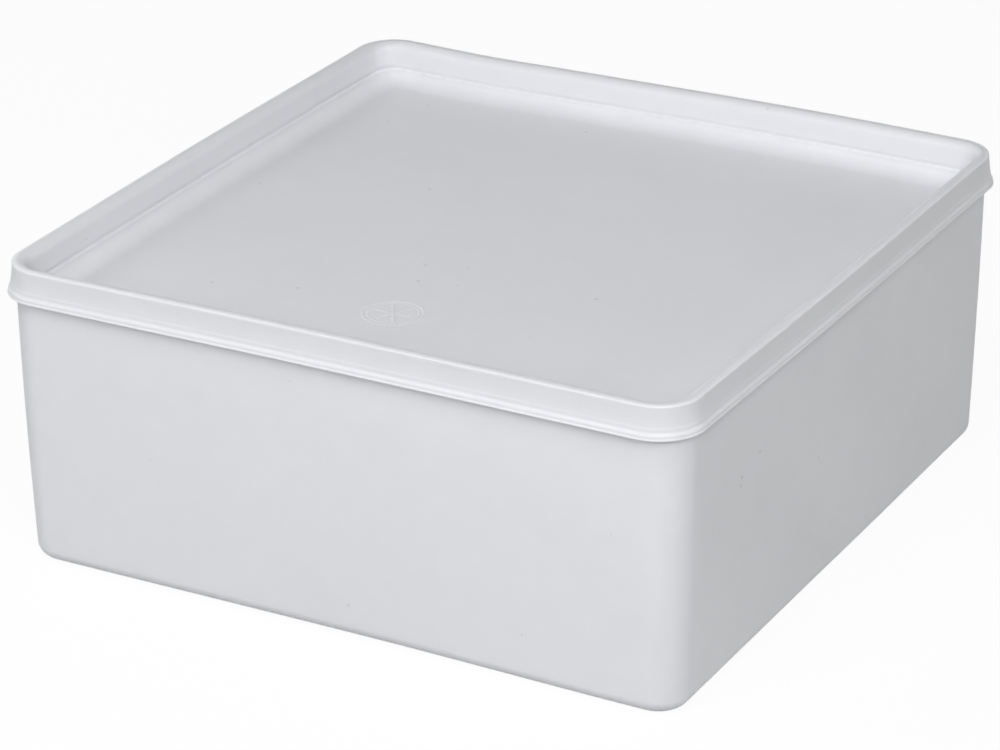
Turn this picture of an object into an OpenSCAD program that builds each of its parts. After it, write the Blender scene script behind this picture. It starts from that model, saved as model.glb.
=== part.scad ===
// Square freezer container: an open tub and a press-on lid, both single mouldings.
// The origin is the middle of the tub's foot, on the table. Z is up.

/* [Tub] */
// Outside width of the tub where its straight walls would meet the table
foot_w = 233; // [180:1:280]
// Height from the table to the top of the tub's rim
tub_h = 101.1; // [80:0.1:140]
// Outside radius of the upright corners at the table
corner_r = 10.5; // [10:0.5:16]
// Angle by which each wall leans out, in degrees
wall_draft = 1.3; // [0.5:0.1:2.5]
// Thickness of the tub's walls
tub_wall = 2; // [1.6:0.1:2.4]
// Thickness of the tub's floor
floor_t = 2.2; // [1.6:0.1:3]
// Outside radius of the bottom edge
foot_edge_r = 5; // [3.5:0.5:5.5]

/* [Foot] */
// Width of the flat band that the tub stands on
foot_band_w = 3.5; // [2:0.5:4]
// How far the middle of the floor is lifted off the table
foot_lift = 1; // [0.6:0.1:1.6]
// Radius of the shallow well round the moulding gate
gate_well_r = 8; // [5:0.5:12]
// Depth of that well
gate_well_depth = 0.6; // [0.3:0.1:0.9]
// Radius of the gate's stub
gate_stub_r = 1.6; // [1:0.1:2.5]
// Length of the gate's stub
gate_stub_len = 0.8; // [0.4:0.1:1]

/* [Tub rim] */
// Height of the set-in rim above its shoulder
rim_h = 9.1; // [8:0.1:12]
// How far the rim is set in from the wall
rim_set_in = 0.5; // [0.3:0.05:0.7]
// Radius of the rounded edges at the top of the rim
rim_edge_r = 0.3; // [0.1:0.05:0.4]
// How far the snap bead stands out of the rim
snap_r = 0.5; // [0.3:0.05:0.7]

/* [Lid rim] */
// Thickness of the lid's skirt, rim top and inner wall
lid_wall = 1.4; // [1:0.1:1.8]
// Running gap between the tub's rim and the sides of the lid's channel
fit_gap = 0.3; // [0.2:0.05:0.5]
// Gap between the lid's lower edge and the tub's shoulder
lip_gap = 0.4; // [0.3:0.05:0.6]
// How far the skirt spreads from the top of the rim down to the grip bead
skirt_flare = 0.3; // [0.1:0.05:0.5]
// Radius of the half-round grip bead along the skirt's lower edge
grip_r = 1.4; // [1:0.1:1.8]
// Radius of the rim's outer top edge
rim_outer_r = 0.8; // [0.4:0.1:1.2]
// Radius of the rim's inner top edge
rim_inner_r = 1.1; // [0.5:0.1:1.3]

/* [Lid panel] */
// Depth of the panel below the top of the lid's rim
panel_drop = 14.2; // [13:0.1:18]
// Thickness of the panel
panel_t = 1.3; // [1:0.1:1.8]
// Angle by which the inner wall leans in, in degrees
inner_draft = 7.5; // [3:0.5:10]
// Depth of the fine step below the top of the lid's rim
step_drop = 8; // [6:0.1:9]
// Width of the fine step
step_w = 0.4; // [0.2:0.05:0.6]
// Radius of the hollow fillet between the inner wall and the panel
panel_fillet_r = 4.6; // [2.5:0.1:5]

/* [Moulded mark] */
// Outside radius of the round mark on the panel
mark_r = 10; // [6:0.5:14]
// Width of the mark's lines
mark_line_w = 0.8; // [0.5:0.1:1.2]
// Height of the mark's lines above the panel
mark_h = 0.25; // [0.15:0.05:0.4]
// Distance of the mark from the middle of the panel, towards the front
mark_forward = 66; // [40:1:90]
// Distance of the mark from the middle of the panel, towards the left
mark_left = 7; // [0:1:60]

/* [Hidden] */
$fn = 64;

// Overrun of the cuts, and overlap of pieces that join inside one moulding
overrun = 0.5;
// Straight steps in a small edge and in a larger fillet
edge_steps = 4;
fillet_steps = 8;

// Axis of each upright corner, as a distance from the middle both ways
corner_axis = foot_w / 2 - corner_r;
// The profiles below are drawn from that axis outwards, so x is a radius in the corners
foot_x = corner_r;
shoulder_z = tub_h - rim_h;
function wall_x(z) = foot_x + z * tan(wall_draft);
function wall_in_x(z) = wall_x(z) - tub_wall;
rim_x = wall_x(shoulder_z) - rim_set_in;

// The lid's channel fits over the rim
skirt_in_x = rim_x + snap_r + fit_gap;
skirt_x = skirt_in_x + lid_wall;
skirt_top_x = skirt_x - skirt_flare;
plug_x = wall_in_x(tub_h) - fit_gap;
inner_top_x = plug_x - lid_wall;
lid_top_z = tub_h + lid_wall;
lip_z = shoulder_z + lip_gap;
grip_z = lip_z + grip_r;

// The snap bead sits at the height of the grip bead's middle
snap_z = grip_z;
groove_r = snap_r;

// The recessed panel
panel_z = lid_top_z - panel_drop;
step_z = lid_top_z - step_drop;
function inner_x(z) = inner_top_x - (lid_top_z - z) * tan(inner_draft);
function plug_out_x(z) = plug_x - (tub_h - z) * tan(inner_draft);
fillet_z = panel_z + panel_fillet_r;
fillet_top_x = inner_x(fillet_z) - step_w;
fillet_x = fillet_top_x - panel_fillet_r;
under_z = panel_z - panel_t;
under_r = panel_fillet_r + panel_t;

// Points along an arc from angle a0 to angle a1
function arc(x, z, r, a0, a1, steps) =
    [for (i = [0:steps]) let (a = a0 + (a1 - a0) * i / steps) [x + r * cos(a), z + r * sin(a)]];

// Carries a profile once round a rounded square: four straight sides and four corners
module round_square(profile) {
    for (turn = [0:90:270]) rotate([0, 0, turn]) {
        translate([corner_axis, 0, 0])
            rotate([90, 0, 0])
                linear_extrude(2 * corner_axis, center = true)
                    polygon(profile);
        translate([corner_axis, corner_axis, 0])
            rotate_extrude(angle = 90)
                polygon(profile);
    }
}

// The square middle that a swept profile leaves open, from z0 up to z1
module middle_slab(z0, z1) {
    translate([-corner_axis, -corner_axis, z0])
        cube([2 * corner_axis, 2 * corner_axis, z1 - z0]);
}

// Outer bottom edge of the tub: round until it meets the drafted wall
foot_edge_x = wall_x(foot_edge_r) - foot_edge_r / cos(wall_draft);
// Inner bottom edge, the same centre and one wall smaller
floor_z = foot_lift + floor_t;
inner_edge_r = foot_edge_r - tub_wall;
inner_edge_x = wall_in_x(floor_z + inner_edge_r) - inner_edge_r / cos(wall_draft);

tub_profile = concat(
    [[0, 0]],
    arc(foot_edge_x, foot_edge_r, foot_edge_r, -90, -wall_draft, fillet_steps),
    [[wall_x(shoulder_z), shoulder_z], [rim_x, shoulder_z]],
    arc(rim_x, snap_z, snap_r, -90, 90, edge_steps + edge_steps),
    arc(rim_x - rim_edge_r, tub_h - rim_edge_r, rim_edge_r, 0, 90, edge_steps),
    arc(wall_in_x(tub_h) + rim_edge_r, tub_h - rim_edge_r, rim_edge_r, 90, 180, edge_steps),
    arc(inner_edge_x, floor_z + inner_edge_r, inner_edge_r, -wall_draft, -90, fillet_steps),
    [[0, floor_z]]
);

// Pocket under the floor, inside a foot band that is as wide all round
pocket_x = foot_edge_x - foot_band_w;
module foot_pocket() {
    round_square([[0, -overrun], [pocket_x, -overrun], [pocket_x, foot_lift], [0, foot_lift]]);
    middle_slab(-overrun, foot_lift);
}

module tub() {
    color([0.87, 0.88, 0.9]) {
        difference() {
            union() {
                round_square(tub_profile);
                middle_slab(0, floor_z);
            }
            foot_pocket();
            gate_well();
        }
        gate_stub();
    }
}

// Shallow round well in the pocket, where the plastic entered the mould
module gate_well() {
    translate([0, 0, -overrun])
        cylinder(r = gate_well_r, h = overrun + foot_lift + gate_well_depth);
}

// Trimmed stub of the gate, kept above the table
module gate_stub() {
    translate([0, 0, foot_lift + gate_well_depth - gate_stub_len])
        cylinder(r = gate_stub_r, h = gate_stub_len + overrun);
}

lid_profile = concat(
    [[0, panel_z]],
    arc(fillet_x, fillet_z, panel_fillet_r, -90, 0, fillet_steps),
    [[inner_x(step_z) - step_w, step_z], [inner_x(step_z), step_z]],
    arc(inner_x(lid_top_z - rim_inner_r) + rim_inner_r, lid_top_z - rim_inner_r, rim_inner_r,
        180 - inner_draft, 90, edge_steps),
    arc(skirt_top_x - rim_outer_r, lid_top_z - rim_outer_r, rim_outer_r, 90, 0, edge_steps),
    arc(skirt_x, grip_z, grip_r, 90, -90, fillet_steps),
    [[skirt_in_x, lip_z]],
    arc(skirt_in_x, snap_z, groove_r, -90, 90, edge_steps + edge_steps),
    [[skirt_in_x, tub_h], [plug_x, tub_h]],
    [[plug_out_x(fillet_z), fillet_z]],
    arc(fillet_x, fillet_z, under_r, 0, -90, fillet_steps),
    [[0, under_z]]
);

module lid() {
    color([0.9, 0.91, 0.92]) {
        round_square(lid_profile);
        middle_slab(under_z, panel_z);
        translate([-mark_left, -mark_forward, panel_z - overrun])
            mark();
        translate([0, 0, under_z - gate_well_depth])
            cylinder(r = gate_stub_r, h = gate_well_depth + overrun);
    }
}

// Round mark: two raised rings with a plain six-armed star between them
mark_inner_r = mark_r - 2 * mark_line_w;
mark_arm = mark_inner_r - 2 * mark_line_w;
mark_height = overrun + mark_h;
module mark() {
    ring(mark_r, mark_line_w);
    ring(mark_inner_r, mark_line_w / 2);
    for (turn = [0:60:120])
        rotate([0, 0, turn])
            translate([-mark_arm, -mark_line_w / 2, 0])
                cube([2 * mark_arm, mark_line_w, mark_height]);
}

module ring(r, w) {
    difference() {
        cylinder(r = r, h = mark_height);
        translate([0, 0, -overrun])
            cylinder(r = r - w, h = mark_height + 2 * overrun);
    }
}

tub();
lid();
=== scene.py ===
import math

import bmesh
import bpy
from mathutils import Matrix, Vector, noise


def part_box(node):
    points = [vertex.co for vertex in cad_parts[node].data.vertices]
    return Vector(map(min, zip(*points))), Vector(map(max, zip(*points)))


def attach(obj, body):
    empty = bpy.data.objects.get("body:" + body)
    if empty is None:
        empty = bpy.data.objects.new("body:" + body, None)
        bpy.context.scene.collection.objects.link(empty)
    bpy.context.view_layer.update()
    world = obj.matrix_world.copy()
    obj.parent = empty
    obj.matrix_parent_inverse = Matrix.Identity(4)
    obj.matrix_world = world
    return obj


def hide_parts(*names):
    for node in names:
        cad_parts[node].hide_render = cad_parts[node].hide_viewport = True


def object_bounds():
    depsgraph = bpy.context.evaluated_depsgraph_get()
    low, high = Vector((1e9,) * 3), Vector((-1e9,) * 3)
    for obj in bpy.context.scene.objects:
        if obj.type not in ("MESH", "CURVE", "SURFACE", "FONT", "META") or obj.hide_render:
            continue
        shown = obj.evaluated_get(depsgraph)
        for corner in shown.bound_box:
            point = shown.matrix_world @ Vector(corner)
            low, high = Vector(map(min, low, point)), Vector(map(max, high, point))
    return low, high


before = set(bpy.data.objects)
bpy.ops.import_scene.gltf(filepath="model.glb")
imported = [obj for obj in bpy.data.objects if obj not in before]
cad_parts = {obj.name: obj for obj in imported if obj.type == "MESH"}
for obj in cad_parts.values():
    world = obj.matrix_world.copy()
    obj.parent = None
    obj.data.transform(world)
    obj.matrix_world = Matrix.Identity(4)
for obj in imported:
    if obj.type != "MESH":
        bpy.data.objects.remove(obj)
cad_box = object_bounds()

# The tub
# One polyethylene injection moulding: a foot band, a lifted floor, four drafted walls and
# a set-in rim with a snap bead. The mould leaves no seam on it, only a gate under the floor.
# Lengths are in metres, as the frame is, and tables in millimetres say so.
MM = 0.001
TUB_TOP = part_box("tub")[1][2]
FOOT_HALF = 116.5 * MM
CORNER_R = 10.5 * MM
AXIS = FOOT_HALF - CORNER_R
DRAFT = math.tan(math.radians(1.3))
TUB_WALL = 2 * MM
FLOOR_T = 2.2 * MM
FOOT_EDGE_R = 5 * MM
FOOT_BAND_W = 3.5 * MM
FOOT_LIFT = 1 * MM
RIM_H = 9.1 * MM
RIM_SET_IN = 0.5 * MM
RIM_EDGE_R = 0.3 * MM
SNAP_R = 0.5 * MM
SNAP_RISE = 1.8 * MM
SHOULDER_R = 0.15 * MM
POCKET_R = 0.4 * MM
GATE_WELL_R = 8 * MM
GATE_WELL_DEPTH = 0.6 * MM
GATE_STUB_R = 1.6 * MM
GATE_STUB_LEN = 0.8 * MM

# The plastic shrinks as it cools: the upright corners draw in, each wall bows between them,
# and the rim sinks unevenly. The sides are named right, back, left and front as the camera
# sees the box. Each pair holds the inward move at the rim and the one at the foot.
SHRINK = 0.0034
CORNER_PULL = {("right", "front"): (0.81 * MM, -0.13 * MM),
               ("right", "back"): (0.41 * MM, 0.47 * MM),
               ("left", "back"): (0.44 * MM, 0),
               ("left", "front"): (0.73 * MM, 0.71 * MM)}
SIDE_PULL = {"right": (0, 0.11 * MM), "back": (-0.62 * MM, 1.0 * MM),
             "left": (0.22 * MM, 1.0 * MM), "front": (1.05 * MM, 1.33 * MM)}
RIM_DROP = 0.6 * MM
CORNER_RISE = {("right", "front"): 0.57 * MM, ("right", "back"): 0.32 * MM,
               ("left", "back"): -0.08 * MM, ("left", "front"): 0.12 * MM}
RIM_RISE = {"right": 0.35 * MM, "back": -0.06 * MM, "left": 0.27 * MM, "front": 0.59 * MM}

# The back rim also waves along its length and dips near its left end. The shares are of half
# a side. The powers keep a move at the walls, so that the floor and the panel stay out of it.
BACK_WAVE = 0.45 * MM
BACK_DIP = 0.34 * MM
DIP_PLACE_SHARE = -0.7
DIP_WIDTH_SHARE = 0.2
RIM_POWER = 4
RIPPLE = 0.05 * MM
RIPPLE_WIDTH = 55 * MM
RIPPLE_POWER = 8
WALL_FROM_SHARE = 0.5


def arc(x, z, r, start, end, steps):
    """Points along an arc in a section, angles in degrees from straight outwards."""
    turns = [math.radians(start + (end - start) * i / steps) for i in range(steps + 1)]
    return [(x + r * math.cos(t), z + r * math.sin(t)) for t in turns]


def line(a, b, steps):
    """Points along a straight stretch of a section, without its first point."""
    return [(a[0] + (b[0] - a[0]) * i / steps, a[1] + (b[1] - a[1]) * i / steps)
            for i in range(1, steps + 1)]


def flat_end(s):
    """Grows from 0 in the middle of a side to 1 at its end, and levels out there."""
    s = min(1.0, abs(s))
    return s * s * (2 - s * s)


def settle(co):
    """Moves a point as the cooled plastic moves, and adds the wall's slow ripple."""
    u = max(-1.0, min(1.0, co.x / AXIS))
    v = max(-1.0, min(1.0, co.y / AXIS))
    up = max(0.0, min(1.0, co.z / TUB_TOP))
    at_top = up * up
    at_foot = (1 - up) ** 2
    across = "right" if u > 0 else "left"
    deep = "back" if v > 0 else "front"

    def drawn_in(side, along):
        """How far in a side is pulled, at a place along it."""
        end = flat_end(along)
        at_rim, at_base = (corner * end + middle * (1 - end) for corner, middle
                           in zip(CORNER_PULL[across, deep], SIDE_PULL[side]))
        return at_rim * at_top + at_base * at_foot

    rise = (RIM_RISE[across] * u ** RIM_POWER * (1 - flat_end(v))
            + RIM_RISE[deep] * v ** RIM_POWER * (1 - flat_end(u))
            + CORNER_RISE[across, deep] * flat_end(u) * flat_end(v)
            + (BACK_WAVE * math.sin(math.pi * u)
               - BACK_DIP * math.exp(-((u - DIP_PLACE_SHARE) / DIP_WIDTH_SHARE) ** 2))
            * max(0.0, v) ** RIM_POWER)
    to_wall = max(abs(u), abs(v))
    wave = RIPPLE * (noise.noise(co / RIPPLE_WIDTH) - 0.5) * to_wall ** RIPPLE_POWER
    out = Vector()
    if to_wall > WALL_FROM_SHARE:
        out = Vector((u ** (RIPPLE_POWER + 1), v ** (RIPPLE_POWER + 1), 0)).normalized()
    moved = Vector((co.x * (1 - SHRINK) - u * drawn_in(across, v),
                    co.y * (1 - SHRINK) - v * drawn_in(deep, u),
                    co.z - (RIM_DROP - rise) * at_top))
    return moved + out * wave


def sweep_square(bm, section, side_steps, corner_steps):
    """Carries a section once round the rounded square; x is measured from the corner axes."""
    stations = []
    for side in range(4):
        turn = Matrix.Rotation(side * math.pi / 2, 3, "Z")
        for i in range(side_steps + 1):
            along = AXIS * (2 * i / side_steps - 1)
            stations.append((turn @ Vector((AXIS, along, 0)), turn @ Vector((1, 0, 0))))
        for j in range(1, corner_steps):
            angle = math.pi / 2 * j / corner_steps
            out = Vector((math.cos(angle), math.sin(angle), 0))
            stations.append((turn @ Vector((AXIS, AXIS, 0)), turn @ out))
    rows = [[bm.verts.new(foot + out * x + Vector((0, 0, z))) for foot, out in stations]
            for x, z in section]
    count = len(stations)
    for low, high in zip(rows, rows[1:]):
        for k in range(count):
            n = (k + 1) % count
            bm.faces.new((low[k], low[n], high[n], high[k]))


def middle_sheet(bm, z, steps):
    """The flat square between the corner axes, on the same steps as the swept sides."""
    rows = [[bm.verts.new((AXIS * (2 * i / steps - 1), AXIS * (2 * j / steps - 1), z))
             for i in range(steps + 1)] for j in range(steps + 1)]
    for low, high in zip(rows, rows[1:]):
        for k in range(steps):
            bm.faces.new((low[k], low[k + 1], high[k + 1], high[k]))


SOFT_EDGE = 0.3 * MM
HAIR = 0.01 * MM
WELD = 0.001 * MM


def ridge(distance, half_width):
    """1 on a raised line and 0 beside it, with a soft edge between."""
    share = max(0.0, min(1.0, (half_width - distance) / SOFT_EDGE / 2 + 0.5))
    return share * share * (3 - 2 * share)


def relief(bm, z, middle, reach, cuts, height):
    """Cuts the flat cells round a place fine, and raises them there by height(x, y)."""
    def inside(co):
        return (abs(co.z - z) < HAIR and abs(co.x - middle[0]) < reach + HAIR
                and abs(co.y - middle[1]) < reach + HAIR)

    cells = [face for face in bm.faces if all(inside(vert.co) for vert in face.verts)]
    edges = {edge for face in cells for edge in face.edges}
    bmesh.ops.subdivide_edges(bm, edges=list(edges), cuts=cuts, use_grid_fill=True)
    for vert in bm.verts:
        if inside(vert.co):
            vert.co.z += height(vert.co.x, vert.co.y)


def close_mesh(bm, name, sharp_degrees):
    """Welds a moulding's sheets into one closed skin and makes its object."""
    bmesh.ops.remove_doubles(bm, verts=bm.verts, dist=WELD)
    bmesh.ops.dissolve_degenerate(bm, dist=WELD, edges=bm.edges)
    bmesh.ops.recalc_face_normals(bm, faces=bm.faces)
    for face in bm.faces:
        face.smooth = True
    for edge in bm.edges:
        if len(edge.link_faces) == 2:
            edge.smooth = edge.calc_face_angle() < math.radians(sharp_degrees)
    mesh = bpy.data.meshes.new(name)
    bm.to_mesh(mesh)
    bm.free()
    piece = bpy.data.objects.new(name, mesh)
    bpy.context.scene.collection.objects.link(piece)
    return piece


# How finely the skins are cut: along a side and round a corner, then along the stretches of
# a section. Edges that turn by more than the last angle stay sharp.
SIDE_STEPS = 44
CORNER_STEPS = 18
WALL_STEPS = 22
FOOT_EDGE_STEPS = 14
INNER_EDGE_STEPS = 8
BEAD_STEPS = 8
EDGE_STEPS = 4
CREASE_STEPS = 3
FLAT_STEPS = 2
WELL_CUTS = 20
SHARP_DEGREES = 40
CELL = 2 * AXIS / SIDE_STEPS
GATE_REACH = 2 * CELL


def wall_x(z):
    """Outside of the drafted wall at a height."""
    return CORNER_R + z * DRAFT


def wall_in_x(z):
    """Inside of the drafted wall at a height."""
    return wall_x(z) - TUB_WALL


SHOULDER_Z = TUB_TOP - RIM_H
RIM_X = wall_x(SHOULDER_Z) - RIM_SET_IN
FLOOR_Z = FOOT_LIFT + FLOOR_T
SNAP_Z = SHOULDER_Z + SNAP_RISE
slant = math.degrees(math.atan(DRAFT))
cos_slant = math.cos(math.radians(slant))
foot_edge_x = wall_x(FOOT_EDGE_R) - FOOT_EDGE_R / cos_slant
inner_edge_r = FOOT_EDGE_R - TUB_WALL
inner_edge_z = FLOOR_Z + inner_edge_r
inner_edge_x = wall_in_x(inner_edge_z) - inner_edge_r / cos_slant
pocket_x = foot_edge_x - FOOT_BAND_W

tub_section = [(0, FOOT_LIFT)]
tub_section += arc(pocket_x - POCKET_R, FOOT_LIFT - POCKET_R, POCKET_R, 90, 0, EDGE_STEPS)
tub_section += arc(pocket_x + POCKET_R, POCKET_R, POCKET_R, 180, 270, EDGE_STEPS)
tub_section += line(tub_section[-1], (foot_edge_x, 0), FLAT_STEPS)
tub_section += arc(foot_edge_x, FOOT_EDGE_R, FOOT_EDGE_R, -90, -slant, FOOT_EDGE_STEPS)[1:]
wall_top = (wall_x(SHOULDER_Z - SHOULDER_R), SHOULDER_Z - SHOULDER_R)
tub_section += line(tub_section[-1], wall_top, WALL_STEPS)
tub_section += arc(wall_top[0] - SHOULDER_R, wall_top[1], SHOULDER_R, 0, 90, CREASE_STEPS)[1:]
tub_section += [(RIM_X, SHOULDER_Z)]
tub_section += arc(RIM_X, SNAP_Z, SNAP_R, -90, 90, BEAD_STEPS)
rim_edge_z = TUB_TOP - RIM_EDGE_R
tub_section += arc(RIM_X - RIM_EDGE_R, rim_edge_z, RIM_EDGE_R, 0, 90, EDGE_STEPS)
tub_section += arc(wall_in_x(TUB_TOP) + RIM_EDGE_R, rim_edge_z, RIM_EDGE_R, 90, 180, EDGE_STEPS)
inner_wall_foot = arc(inner_edge_x, inner_edge_z, inner_edge_r, -slant, -90, INNER_EDGE_STEPS)
tub_section += line(tub_section[-1], inner_wall_foot[0], WALL_STEPS)
tub_section += inner_wall_foot[1:] + [(0, FLOOR_Z)]


def gate_height(x, y):
    """Height of the gate's well over the lifted floor's underside, less its stub."""
    r = math.hypot(x, y)
    return GATE_WELL_DEPTH * ridge(r, GATE_WELL_R) - GATE_STUB_LEN * ridge(r, GATE_STUB_R)


tub_bm = bmesh.new()
sweep_square(tub_bm, tub_section, SIDE_STEPS, CORNER_STEPS)
middle_sheet(tub_bm, FOOT_LIFT, SIDE_STEPS)
middle_sheet(tub_bm, FLOOR_Z, SIDE_STEPS)
relief(tub_bm, FOOT_LIFT, (0, 0), GATE_REACH, WELL_CUTS, gate_height)
for vert in tub_bm.verts:
    vert.co = settle(vert.co)
tub_piece = close_mesh(tub_bm, "tub_shell", SHARP_DEGREES)


class Wire:
    """One socket of a finish; sums on it add the Math nodes."""

    def __init__(self, tree, socket):
        self.tree = tree
        self.socket = socket

    def sum_with(self, operation, first, second):
        node = self.tree.nodes.new("ShaderNodeMath")
        node.operation = operation
        for place, value in enumerate((first, second)):
            if isinstance(value, Wire):
                self.tree.links.new(value.socket, node.inputs[place])
            else:
                node.inputs[place].default_value = value
        return Wire(self.tree, node.outputs[0])

    def __add__(self, other):
        return self.sum_with("ADD", self, other)

    def __sub__(self, other):
        return self.sum_with("SUBTRACT", self, other)

    def __rsub__(self, other):
        return self.sum_with("SUBTRACT", other, self)

    def __mul__(self, other):
        return self.sum_with("MULTIPLY", self, other)

    def __lt__(self, other):
        return self.sum_with("LESS_THAN", self, other)

    def __gt__(self, other):
        return self.sum_with("GREATER_THAN", self, other)

    __radd__ = __add__
    __rmul__ = __mul__

    def clamped_sum(self, *others):
        """The sum of several sockets, held between 0 and 1."""
        total = self
        for other in others:
            total = total + other
        total.socket.node.use_clamp = True
        return total


class Finish:
    """The nodes of a material, or of the air round the object, under construction."""

    def __init__(self, holder):
        self.holder = holder
        holder.use_nodes = True
        self.tree = holder.node_tree
        self.tree.nodes.clear()

    def add(self, kind, settings=None, sockets=None, out=0):
        """Adds a node: its settings first, then the values or links of its sockets."""
        node = self.tree.nodes.new(kind)
        for key, value in (settings or {}).items():
            setattr(node, key, value)
        by_id = {s.identifier: s for s in node.inputs}
        for key, value in (sockets or {}).items():
            socket = by_id[key] if key in by_id else node.inputs[key]
            if isinstance(value, Wire):
                self.tree.links.new(value.socket, socket)
            else:
                socket.default_value = value
        outs = {s.identifier: s for s in node.outputs}
        return Wire(self.tree, outs.get(out) or node.outputs[out]) if outs else None


# The marks in the plastic, with scales to the metre: slow clouds and a finer mottle, cells of
# which a few hold a dark speck, and on the surface the mould's slow waves and its fine grain.
CLOUD_SCALE = 22.0
MOTTLE_SCALE = 130.0
MOTTLE_SHARE = 0.5
TONE_CONTRAST = 1.5
SPECK_SCALE = 230.0
SPECK_CHANCE = 0.035
SPECK_SMALLEST_SHARE = 0.08
SPECK_SPREAD_SHARE = 0.11
SPECK_SHARPNESS = 14
SPECK_STRENGTH = 0.4
SPECK_COLOUR = (0.42, 0.42, 0.43, 1)
WAVE_SCALE = 160.0
WAVE_STRENGTH = 1.5
GRAIN_SCALE = 1700.0
GRAIN_HEIGHT = 0.02 * MM
SHEEN_CHANGE = 0.12
SCATTER_SHARE = 0.5
SCATTER_DEPTH = 4 * MM


def milky_plastic(name, milk, shade, roughness, grain, seed):
    """Milky polyethylene: clouded colour, a few dark specks, fine moulded grain."""
    finish = Finish(bpy.data.materials.new(name))
    add = finish.add
    where = add("ShaderNodeTexCoord", out="Object")
    place = add("ShaderNodeVectorMath", {"operation": "ADD"},
                {"Vector": where, "Vector_001": (seed, seed, seed)}, out="Vector")

    def marks(scale, detail=2.0):
        return add("ShaderNodeTexNoise",
                   sockets={"Vector": place, "Scale": scale, "Detail": detail})

    cloud = marks(CLOUD_SCALE, detail=3.0)
    mottle = marks(MOTTLE_SCALE)
    middle = 0.5 + 0.5 * MOTTLE_SHARE
    tone = (cloud + mottle * MOTTLE_SHARE - middle) * TONE_CONTRAST + 0.5
    tone = add("ShaderNodeClamp", sockets={"Value": tone})
    cell = {"Vector": place, "Scale": SPECK_SCALE}
    near = add("ShaderNodeTexVoronoi", sockets=cell, out="Distance")
    pick = add("ShaderNodeTexVoronoi", sockets=cell, out="Color")
    chance = add("ShaderNodeSeparateColor", sockets={"Color": pick}, out="Red")
    size = add("ShaderNodeSeparateColor", sockets={"Color": pick}, out="Green")
    radius = size * SPECK_SPREAD_SHARE + SPECK_SMALLEST_SHARE
    soft = add("ShaderNodeClamp", sockets={"Value": (radius - near) * SPECK_SHARPNESS})
    speck = soft * (chance < SPECK_CHANCE)
    base = add("ShaderNodeMix", {"data_type": "RGBA"},
               {"Factor_Float": tone, "A_Color": (*milk, 1), "B_Color": (*shade, 1)},
               out="Result_Color")
    base = add("ShaderNodeMix", {"data_type": "RGBA"},
               {"Factor_Float": speck * SPECK_STRENGTH, "A_Color": base, "B_Color": SPECK_COLOUR},
               out="Result_Color")
    fine = marks(GRAIN_SCALE)
    broad = marks(WAVE_SCALE)
    bump = add("ShaderNodeBump", sockets={"Strength": grain, "Distance": GRAIN_HEIGHT,
                                          "Height": fine + broad * WAVE_STRENGTH})
    surface = add("ShaderNodeBsdfPrincipled", {"subsurface_method": "RANDOM_WALK"}, {
        "Base Color": base, "Roughness": roughness + (cloud - 0.5) * SHEEN_CHANGE, "IOR": 1.5,
        "Subsurface Weight": SCATTER_SHARE, "Subsurface Radius": (1.0, 0.95, 0.9),
        "Subsurface Scale": SCATTER_DEPTH, "Specular IOR Level": 0.3, "Normal": bump})
    add("ShaderNodeOutputMaterial", sockets={"Surface": surface})
    return finish.holder


tub_piece.data.materials.append(milky_plastic(
    "tub_milk", milk=(0.82, 0.83, 0.859), shade=(0.785, 0.795, 0.824),
    roughness=0.42, grain=0.35, seed=3.7))
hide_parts("tub")
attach(tub_piece, "tub")

# The lid
# One softer polyethylene moulding that presses over the tub's rim: an outer skirt with a
# ridge and a thin lip to grip, a narrow crowned rim, a steep inner wall and a recessed panel.
LID_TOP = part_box("lid")[1][2]
LID_WALL = 1.4 * MM
LIP_GAP = 0.4 * MM
FIT_GAP = 0.3 * MM
RIM_INNER_R = 3.2 * MM
PANEL_DROP = 14.2 * MM
PANEL_T = 1.3 * MM
INNER_DRAFT_DEG = 7.5
INNER_DRAFT = math.tan(math.radians(INNER_DRAFT_DEG))
STEP_DROP = 9.2 * MM
UNDER_FILLET_DROP = 9.6 * MM
UNDER_FILLET_R = 5.9 * MM
PANEL_FILLET_W = 7 * MM
PANEL_SAG = 0.5 * MM
CREASE_R = 0.2 * MM
LID_STUB_LEN = 0.6 * MM

# Outside of the rim from its crest down to the lip, as (out from the skirt, drop from the
# top) in millimetres: a crowned top and a rounded edge, the flaring skirt, a faint swelling,
# a tight ridge, a shallow groove where the mould's halves meet, and a thin lip.
CREST = (-2.49, 0)
RIM_EDGE = [(-1.95, 0.01), (-1.45, 0.04), (-1.05, 0.11), (-0.82, 0.2), (-0.66, 0.33),
            (-0.575, 0.5), (-0.55, 0.7), (-0.55, 1.1), (-0.53, 1.6), (-0.48, 2.2),
            (-0.4, 3.0), (-0.31, 3.9)]
GRIP = [(-0.05, 6.1), (0.0, 6.5), (0.07, 6.8), (0.17, 7.15), (0.21, 7.5), (0.24, 7.8),
        (0.29, 8.1), (0.43, 8.38), (0.62, 8.64), (0.78, 8.9), (0.85, 9.2), (0.86, 9.45),
        (0.85, 9.6), (0.87, 9.74), (0.95, 9.92), (1.05, 10.12)]
LIP_MIDDLE = (1.0, 10.36)
LIP_EDGE_R = 0.12 * MM
LIP_FROM_DEG = 30

# The fine line half way down the inner wall is a soft undercut with a ledge below it, as
# (out from the upper wall, height over the ledge) in millimetres.
STEP_LINE = [(-0.4, -0.55), (-0.33, -0.35), (-0.12, -0.12), (0.1, 0.1), (0.2, 0.32),
             (0.19, 0.6), (0.09, 0.9), (0.0, 1.25)]

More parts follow.
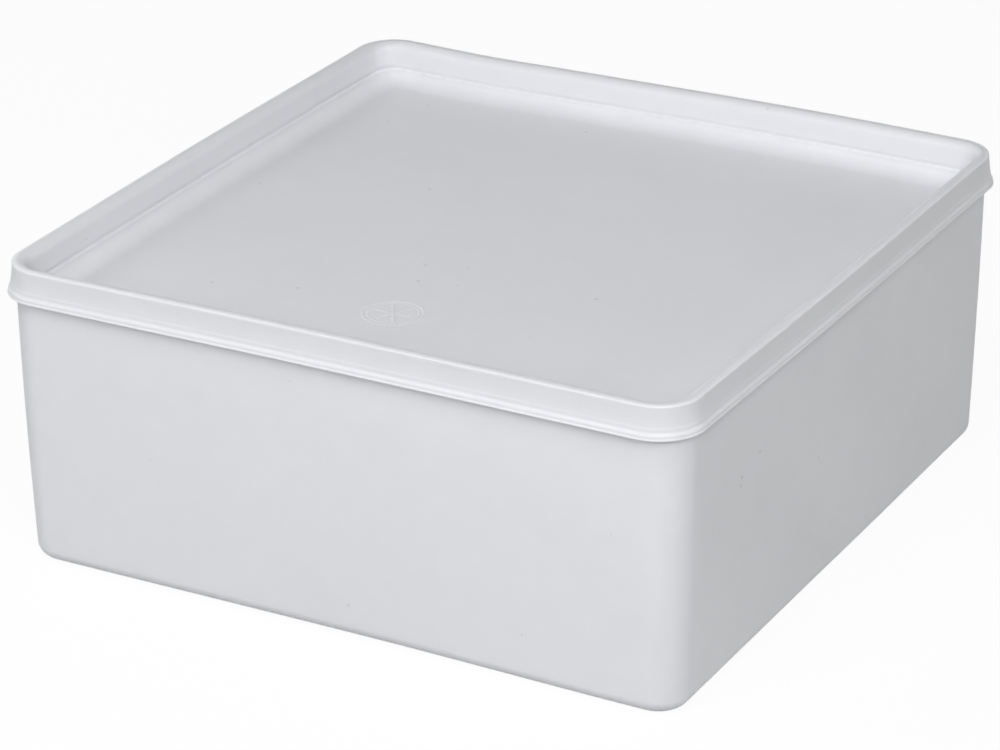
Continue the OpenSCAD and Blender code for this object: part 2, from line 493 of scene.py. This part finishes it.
# A plain moulded mark on the panel: a ring, a thinner ring in it and a six-armed star inside.
MARK_R = 10 * MM
MARK_LINE_W = 0.8 * MM
MARK_THIN_W = MARK_LINE_W / 2
MARK_H = 0.17 * MM
MARK_FORWARD = 66 * MM
MARK_LEFT = 7 * MM
MARK_INNER_R = MARK_R - 2 * MARK_LINE_W
MARK_ARM = MARK_INNER_R - 2 * MARK_LINE_W

skirt_in_x = RIM_X + SNAP_R + FIT_GAP
skirt_x = skirt_in_x + LID_WALL
plug_x = wall_in_x(TUB_TOP) - FIT_GAP
inner_top_x = plug_x - LID_WALL
lip_z = SHOULDER_Z + LIP_GAP
panel_z = LID_TOP - PANEL_DROP
step_z = LID_TOP - STEP_DROP
under_z = panel_z - PANEL_T

# How finely the lid's section is cut, and the cells of the panel round its mark and stub.
FILLET_STEPS = 24
UNDER_FILLET_STEPS = 12
RIM_STEPS = 14
CURVE_STEPS = 2
LEAN_STEPS = 5
SKIRT_STEPS = 3
LIP_STEPS = 6
MARK_CUTS = 26
MARK_REACH = 2.5 * CELL
STUB_CUTS = 24


def inner_x(z):
    """Inner wall's visible face at a height."""
    return inner_top_x - (LID_TOP - z) * INNER_DRAFT


inner_lean = math.radians(INNER_DRAFT_DEG)
rim_inner_z = LID_TOP - RIM_INNER_R
rim_inner_x = (inner_x(rim_inner_z + RIM_INNER_R * math.sin(inner_lean))
               + RIM_INNER_R * math.cos(inner_lean))


def smooth_run(points, steps):
    """Points along a smooth curve through the given ones."""
    run = [points[0]]
    ends = [points[0], *points, points[-1]]
    for four in zip(ends, ends[1:], ends[2:], ends[3:]):
        for i in range(1, steps + 1):
            t = i / steps
            run.append(tuple(
                0.5 * (2 * b + (c - a) * t + (2 * a - 5 * b + 4 * c - d) * t ** 2
                       + (3 * b - a - 3 * c + d) * t ** 3)
                for a, b, c, d in zip(*four)))
    return run


def on_skirt(out, drop):
    """A point of the section from its place in the tables."""
    return skirt_x + out * MM, LID_TOP - drop * MM


lid_section = [(0, panel_z)]
step = [(inner_x(step_z) + x * MM, step_z + z * MM) for x, z in STEP_LINE]
fillet_h = step[0][1] - panel_z
fillet_x = step[0][0] - PANEL_FILLET_W
turns = [math.radians(90 * i / FILLET_STEPS) for i in range(FILLET_STEPS)]
lid_section += [(fillet_x + PANEL_FILLET_W * math.sin(t), panel_z + fillet_h * (1 - math.cos(t)))
                for t in turns]
lid_section += smooth_run(step, CURVE_STEPS)
inner_edge = arc(rim_inner_x, rim_inner_z, RIM_INNER_R, 180 - INNER_DRAFT_DEG, 90, RIM_STEPS)
lid_section += line(lid_section[-1], inner_edge[0], LEAN_STEPS) + inner_edge[1:]
crown = [on_skirt(*place) for place in (CREST, *RIM_EDGE)]
lid_section += smooth_run([lid_section[-1], *crown], CURVE_STEPS)[1:]
grip = [on_skirt(*place) for place in GRIP]
lid_section += line(lid_section[-1], grip[0], SKIRT_STEPS) + smooth_run(grip, CURVE_STEPS)[1:]
lid_section += arc(*on_skirt(*LIP_MIDDLE), LIP_EDGE_R, LIP_FROM_DEG, -90, LIP_STEPS)
crease_x = skirt_in_x + CREASE_R
lid_section += line(lid_section[-1], (crease_x, lip_z), FLAT_STEPS)
lid_section += arc(crease_x, lip_z + CREASE_R, CREASE_R, -90, -180, CREASE_STEPS)[1:]
lid_section += arc(skirt_in_x, SNAP_Z, SNAP_R, -90, 90, BEAD_STEPS)
lid_section += line(lid_section[-1], (skirt_in_x, TUB_TOP), SKIRT_STEPS)
lid_section += [(plug_x, TUB_TOP)]
under_fillet_z = LID_TOP - UNDER_FILLET_DROP
under_fillet_x = plug_x - (TUB_TOP - under_fillet_z) * INNER_DRAFT
lid_section += line(lid_section[-1], (under_fillet_x, under_fillet_z), LEAN_STEPS)
lid_section += arc(under_fillet_x - UNDER_FILLET_R, under_fillet_z, UNDER_FILLET_R,
                   0, -90, UNDER_FILLET_STEPS)[1:]
lid_section += [(0, under_z)]

lid_bm = bmesh.new()
sweep_square(lid_bm, lid_section, SIDE_STEPS, CORNER_STEPS)
middle_sheet(lid_bm, panel_z, SIDE_STEPS)
middle_sheet(lid_bm, under_z, SIDE_STEPS)


def mark_height(x, y):
    """Height of the mark's lines over the panel."""
    x, y = x + MARK_LEFT, y + MARK_FORWARD
    r = math.hypot(x, y)
    lines = [ridge(abs(r - MARK_R + MARK_LINE_W / 2), MARK_LINE_W / 2),
             ridge(abs(r - MARK_INNER_R + MARK_THIN_W / 2), MARK_THIN_W / 2)]
    for turn in (0, math.pi / 3, 2 * math.pi / 3):
        along = abs(x * math.cos(turn) + y * math.sin(turn))
        aside = y * math.cos(turn) - x * math.sin(turn)
        past_end = max(0.0, along - MARK_ARM + MARK_LINE_W / 2)
        lines.append(ridge(math.hypot(past_end, aside), MARK_LINE_W / 2))
    return MARK_H * max(lines)


def stub_height(x, y):
    """The stub that the lid's own gate leaves hangs under the panel's middle."""
    return -LID_STUB_LEN * ridge(math.hypot(x, y), GATE_STUB_R)


mark_middle = [CELL * (round(place / CELL - 0.5) + 0.5) for place in (-MARK_LEFT, -MARK_FORWARD)]
relief(lid_bm, panel_z, mark_middle, MARK_REACH, MARK_CUTS, mark_height)
relief(lid_bm, under_z, (0, 0), CELL, STUB_CUTS, stub_height)
for vert in lid_bm.verts:
    sag = PANEL_SAG * (1 - flat_end(vert.co.x / AXIS)) * (1 - flat_end(vert.co.y / AXIS))
    vert.co = settle(vert.co)
    vert.co.z -= sag
lid_piece = close_mesh(lid_bm, "lid_shell", SHARP_DEGREES)
lid_piece.data.materials.append(milky_plastic(
    "lid_milk", milk=(0.8, 0.806, 0.837), shade=(0.773, 0.779, 0.809),
    roughness=0.34, grain=0.25, seed=8.1))
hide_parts("lid")
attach(lid_piece, "lid")

# The table and the studio
# A plain white table that runs back out of view, and a ring of soft lamps. The strongest
# stands in front on the right, one high in front lights the panel, weaker ones low on the
# left, low on the right and behind keep the shadows soft. The table throws some light back.
TABLE_HALF = 4.0
TABLE_STEPS = 4
TABLE_GAP = 0.02 * MM
TABLE_BOUNCE = (0.42, 0.42, 0.42, 1)
PAPER_WHITE = (0.95, 0.95, 0.95, 1)
PAPER_GLOW_SHARE = 0.94
FILL_COLOUR = (0.97, 0.985, 1.0, 1)
FILL_STRENGTH = 0.01
PURE_WHITE = (1, 1, 1, 1)

scene = bpy.context.scene
scene.view_settings.view_transform = "Standard"
table_mesh = bpy.data.meshes.new("table_top")
table_bm = bmesh.new()
bmesh.ops.create_grid(table_bm, x_segments=TABLE_STEPS, y_segments=TABLE_STEPS, size=TABLE_HALF)
table_bm.to_mesh(table_mesh)
table_bm.free()
table = bpy.data.objects.new("table_top", table_mesh)
scene.collection.objects.link(table)
table.location.z = cad_box[0][2] - TABLE_GAP


def seen_directly(finish):
    """1 where the eye sees this straight on, or in a gloss or through glass; else 0."""
    path = {kind: finish.add("ShaderNodeLightPath", out=f"Is {kind} Ray")
            for kind in ("Camera", "Glossy", "Transmission")}
    return path["Camera"].clamped_sum(path["Glossy"], path["Transmission"])


paper = Finish(bpy.data.materials.new("table_white"))
bounce = paper.add("ShaderNodeBsdfDiffuse", sockets={"Color": TABLE_BOUNCE})
matt = paper.add("ShaderNodeBsdfDiffuse", sockets={"Color": PAPER_WHITE})
glow = paper.add("ShaderNodeEmission", sockets={"Color": PURE_WHITE, "Strength": 1.0})
sheet = paper.add("ShaderNodeMixShader", sockets={0: PAPER_GLOW_SHARE, 1: matt, 2: glow})
seen = paper.add("ShaderNodeMixShader", sockets={0: seen_directly(paper), 1: bounce, 2: sheet})
paper.add("ShaderNodeOutputMaterial", sockets={"Surface": seen})
table_mesh.materials.append(paper.holder)

air = Finish(bpy.data.worlds.new("studio_air"))
scene.world = air.holder
fill = air.add("ShaderNodeBackground", sockets={"Color": FILL_COLOUR, "Strength": FILL_STRENGTH})
white = air.add("ShaderNodeBackground", sockets={"Color": PURE_WHITE, "Strength": 1.0})
around = air.add("ShaderNodeMixShader", sockets={0: seen_directly(air), 1: fill, 2: white})
air.add("ShaderNodeOutputWorld", sockets={"Surface": around})


LAMP_DISTANCE = 1.45
LAMP_SIZE = (0.7, 0.55)
SMALL_LAMP_SIZE = (0.28, 0.28)
LAMP_AIM = Vector((0, 0, 0.05))
WHITE = (1, 1, 1)
COOL = (0.965, 0.99, 1)
WARM = (1, 0.99, 0.985)


def soft_lamp(name, turn, height, watts, colour, size=LAMP_SIZE):
    """A sheet of light; turn is in degrees from the front towards the right, and height up."""
    across, rise = math.radians(turn), math.radians(height)
    lamp = bpy.data.lights.new(name, "AREA")
    lamp.shape = "RECTANGLE"
    lamp.size, lamp.size_y = size
    lamp.color = colour
    lamp.energy = watts
    holder = bpy.data.objects.new(name, lamp)
    holder.visible_camera = False
    scene.collection.objects.link(holder)
    towards = Vector((math.sin(across) * math.cos(rise), -math.cos(across) * math.cos(rise),
                      math.sin(rise)))
    holder.location = LAMP_AIM + towards * LAMP_DISTANCE
    holder.rotation_euler = (-towards).to_track_quat("-Z", "Y").to_euler()


soft_lamp("key_lamp", turn=35, height=35, watts=10.3, colour=WHITE)
soft_lamp("low_key_lamp", turn=35, height=12, watts=1.15, colour=WHITE)
soft_lamp("right_lamp", turn=100, height=12, watts=3.3, colour=WARM)
soft_lamp("high_front_lamp", turn=0, height=60, watts=6.5, colour=WHITE)
soft_lamp("front_lamp", turn=-22.6, height=23.7, watts=2.7, colour=WHITE, size=SMALL_LAMP_SIZE)
soft_lamp("low_left_lamp", turn=-55, height=12, watts=2.75, colour=COOL)
soft_lamp("back_left_lamp", turn=-120, height=35, watts=2.5, colour=COOL)

# The camera
# A long lens that looks down on the container from the front right, as the photograph does.
# It stands DISTANCE back from AIM, a point inside the container. Angles are in radians.
AZIMUTH = 0.5044
ELEVATION = 0.4263
ROLL = -0.0096
DISTANCE = 1.3478
AIM = Vector((6.34 * MM, -21.4 * MM, 51.81 * MM))
FOCAL_PIXELS = 4213.3
PHOTO_WIDTH = 1000
SENSOR_WIDTH = 36
back = Vector((math.sin(AZIMUTH) * math.cos(ELEVATION),
               -math.cos(AZIMUTH) * math.cos(ELEVATION), math.sin(ELEVATION)))
right = Vector((math.cos(AZIMUTH), math.sin(AZIMUTH), 0))
up = back.cross(right)
tilt_right = right * math.cos(ROLL) + up * math.sin(ROLL)
tilt_up = up * math.cos(ROLL) - right * math.sin(ROLL)
lens = bpy.data.cameras.new("studio_camera")
lens.sensor_width = SENSOR_WIDTH
lens.lens = FOCAL_PIXELS / PHOTO_WIDTH * SENSOR_WIDTH
camera = bpy.data.objects.new("studio_camera", lens)
scene.collection.objects.link(camera)
camera.matrix_world = Matrix.Translation(AIM + back * DISTANCE) @ Matrix(
    (tilt_right, tilt_up, back)).transposed().to_4x4()
scene.camera = camera
